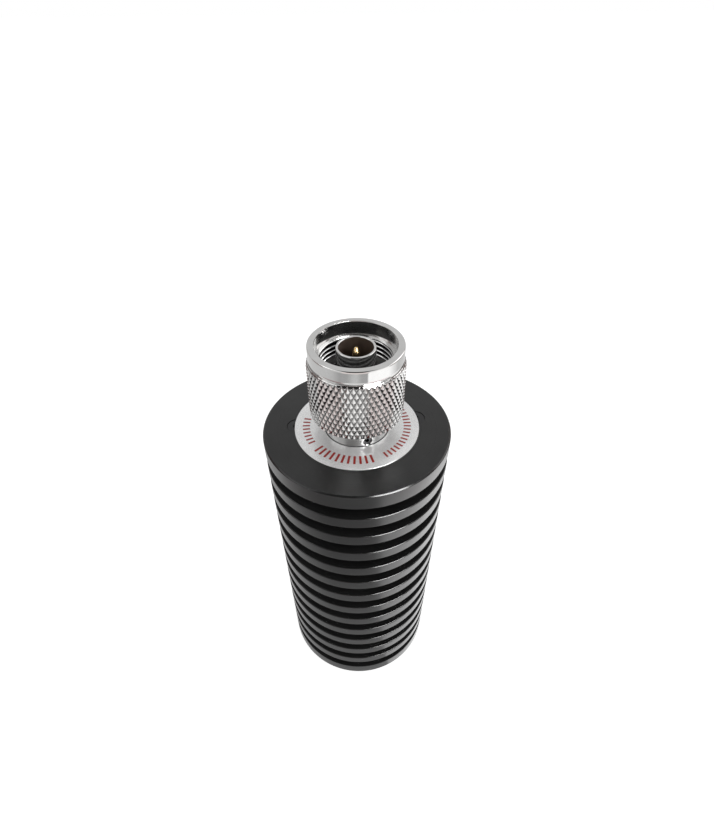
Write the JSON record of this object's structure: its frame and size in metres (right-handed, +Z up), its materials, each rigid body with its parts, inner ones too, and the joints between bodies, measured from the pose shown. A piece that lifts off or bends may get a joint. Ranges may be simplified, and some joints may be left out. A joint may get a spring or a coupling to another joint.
{
  "type": "rf dummy load",
  "caption": "Round finned black heat sink standing on its flat end, with a knurled coupling-nut coaxial plug on top that absorbs radio-frequency power.",
  "frame": {"origin": "centre of the flat base of the heat sink", "axes": "+Z up along the common axis, out of the connector; -Y is the side that the picture shows, with the set screw a little towards +X of it"},
  "size_m": [0.042, 0.042, 0.1068],
  "materials": {
    "black_anodised": "satin black anodised, fine turning marks",
    "nickel": "bright nickel plate on brass",
    "gold": "gold plate",
    "foil": "satin silver foil, bare",
    "black_steel": "black oxide",
    "spring_steel": "bright spring wire",
    "seal_rubber": "matt black",
    "white_dielectric": "waxy white fluoropolymer",
    "plain_brass": "turned brass",
    "bare_copper": "milled copper",
    "plated_copper": "nickel-plated copper",
    "silver_strip": "silver strip",
    "chip_ceramic": "fired ceramic"
  },
  "bodies": {
    "load_body": {"heat_sink": "black_anodised", "face_plate": "black_anodised", "face_screws": "black_steel", "face_ring": "foil", "connector_neck": "nickel", "neck_set_screw": "black_steel", "plug_body": "nickel", "coupling_gasket": "seal_rubber", "nut_snap_ring": "spring_steel", "centre_contact": "gold", "front_insulator": "white_dielectric", "insulator_spacer": "plain_brass", "rear_insulator": "white_dielectric", "insulator_retainer": "plain_brass", "load_carrier": "bare_copper", "carrier_screws": "black_steel", "resistor_flange": "plated_copper", "resistor_chip": "chip_ceramic", "resistor_tab": "silver_strip", "resistor_cover": "chip_ceramic", "flange_screws": "black_steel"},
    "nut": {"coupling_nut": "nickel"}
  },
  "joints": [
    {"name": "nut_turn", "type": "hinge", "parent": "load_body", "child": "nut", "pos_m": [0, 0, 0.09835], "axis": [0, 0, 1], "continuous": true}
  ]
}
